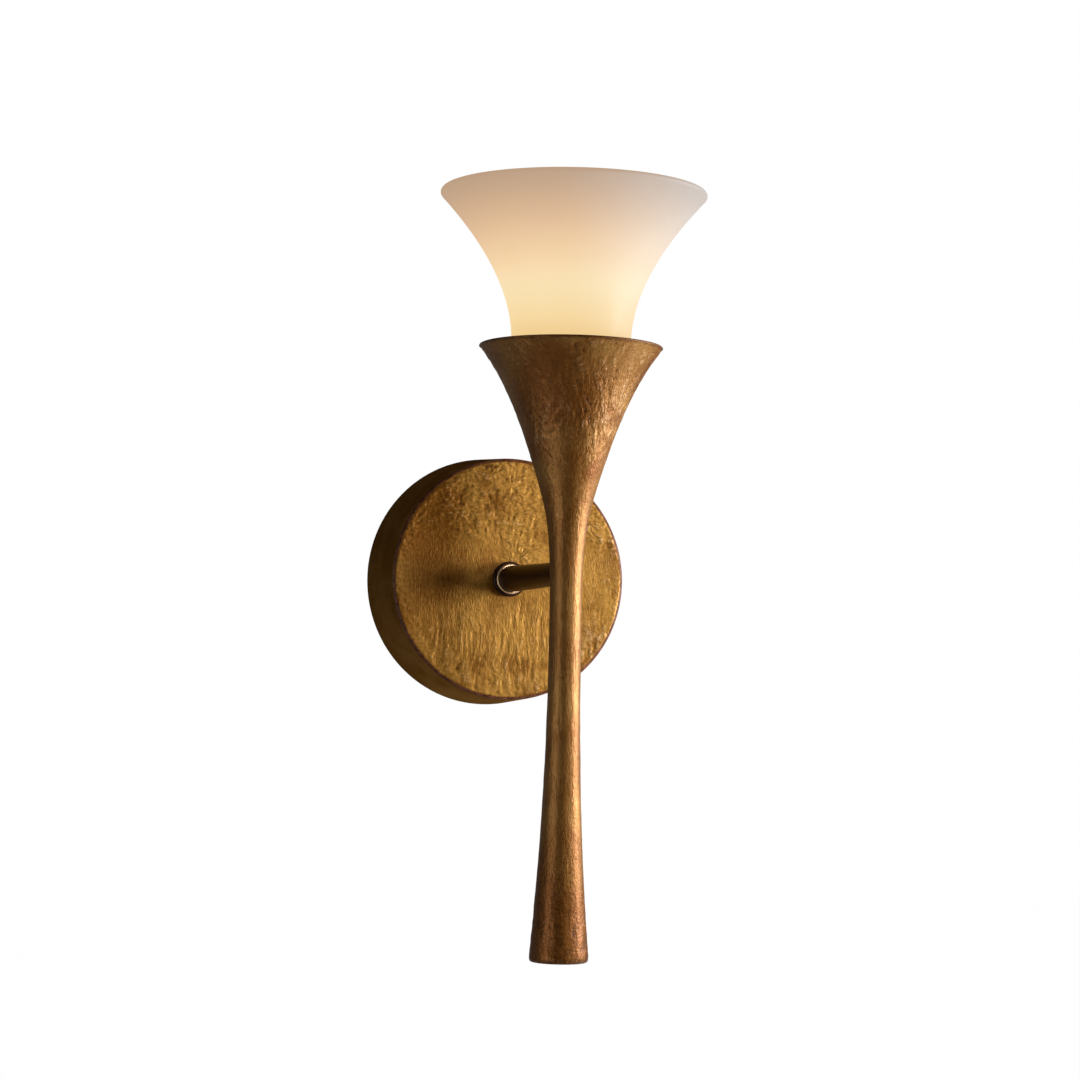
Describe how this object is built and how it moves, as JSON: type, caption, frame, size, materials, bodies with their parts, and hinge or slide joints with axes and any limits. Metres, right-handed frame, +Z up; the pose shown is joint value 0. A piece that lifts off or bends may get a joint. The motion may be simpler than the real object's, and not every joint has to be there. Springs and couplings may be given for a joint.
{
  "type": "torch wall sconce",
  "caption": "Wall sconce shaped as a slender flared torch on a short arm: bronze-finished metal body and round canopy, with a lift-off opal glass flare over a screw-in bulb.",
  "frame": {"origin": "Centre of the canopy in the plane of the wall.", "axes": "+Z up, -Y out of the wall into the room, +X to the right as seen from the room."},
  "size_m": [0.1274, 0.1917, 0.365],
  "materials": {
    "bronze_textured": "hand-applied antique gold-bronze, trowelled in upright strokes, satin",
    "bronze_dark": "smooth dark bronze, satin",
    "ferrule_bright": "polished, lightly aged",
    "brass_plain": "plain turned",
    "zinc_steel": "zinc plated",
    "black_phenolic": "moulded, semi-matt",
    "opal_glass": "white opal, satin etched outside",
    "bulb_glass": "frosted",
    "silicone_clear": "soft, translucent white",
    "wire_black": "semi-gloss insulation",
    "wire_white": "semi-gloss insulation",
    "wire_green": "semi-gloss insulation",
    "connector_orange": "moulded",
    "bushing_white": "moulded",
    "green_steel": "green dyed zinc",
    "tinned_contact": "solder"
  },
  "bodies": {
    "fixture": {"backplate": "bronze_textured", "stiffener_plate": "zinc_steel", "wall_bar": "zinc_steel", "side_screws": "bronze_dark", "ground_screw": "green_steel", "ground_wire": "wire_green", "ground_terminal": "brass_plain", "arm": "bronze_dark", "arm_collar": "bronze_dark", "arm_ferrule": "ferrule_bright", "arm_nipple": "brass_plain", "arm_lock_washer": "zinc_steel", "arm_locknut": "brass_plain", "wire_bushing": "bushing_white", "torch_nipple": "brass_plain", "torch_body": "bronze_textured", "foot_plug": "bronze_textured", "hot_lead": "wire_black", "neutral_lead": "wire_white", "wire_nuts": "connector_orange", "socket_nipple": "brass_plain", "socket_washer": "zinc_steel", "socket_locknut": "brass_plain", "socket_body": "black_phenolic", "socket_screw_shell": "brass_plain", "socket_contact": "brass_plain", "socket_ring": "black_phenolic", "shade_seat": "zinc_steel", "seat_gasket": "silicone_clear"},
    "shade": {"glass_shade": "opal_glass"},
    "bulb_tip": {"bulb_contact": "tinned_contact"},
    "bulb": {"bulb_insulator": "black_phenolic", "bulb_cap": "brass_plain", "bulb_glass": "bulb_glass"}
  },
  "joints": [
    {"name": "shade_lift", "type": "slide", "parent": "fixture", "child": "shade", "axis": [0, 0, 1], "range_m": [0, 0.095]},
    {"name": "bulb_rise", "type": "slide", "parent": "fixture", "child": "bulb_tip", "axis": [0, 0, 1], "range_m": [0, 0.0102]},
    {"name": "bulb_turn", "type": "hinge", "parent": "bulb_tip", "child": "bulb", "pos_m": [0, -0.128, 0.09], "axis": [0, 0, 1], "range_deg": [0, 1440]}
  ],
  "couplings": [
    {"joint": "bulb_rise", "follows": "bulb_turn", "m_per_rad": 0.00040425}
  ]
}
